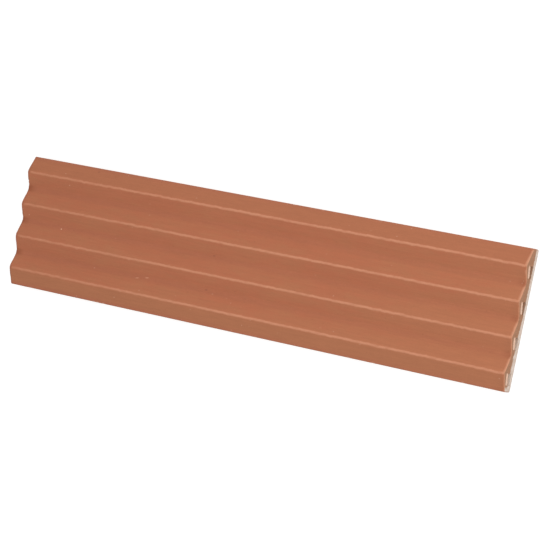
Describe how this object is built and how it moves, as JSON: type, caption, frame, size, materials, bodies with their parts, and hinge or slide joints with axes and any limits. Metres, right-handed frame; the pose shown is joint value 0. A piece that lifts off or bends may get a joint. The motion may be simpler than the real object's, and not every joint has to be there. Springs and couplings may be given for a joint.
{
  "type": "ridged terracotta cladding tile",
  "caption": "Long fired-clay cladding tile with a flat back, rounded V ridges along its length and a hollow core behind each ridge.",
  "frame": {"origin": "middle of the flat back, which lies on the floor", "axes": "+X along the length, +Y across the width towards the upper long edge, +Z out of the ridged front"},
  "size_m": [0.84, 0.201, 0.0336],
  "materials": {
    "terracotta": "matte unglazed fired clay"
  },
  "bodies": {
    "root": {"terracotta_tile": "terracotta"}
  },
  "joints": []
}
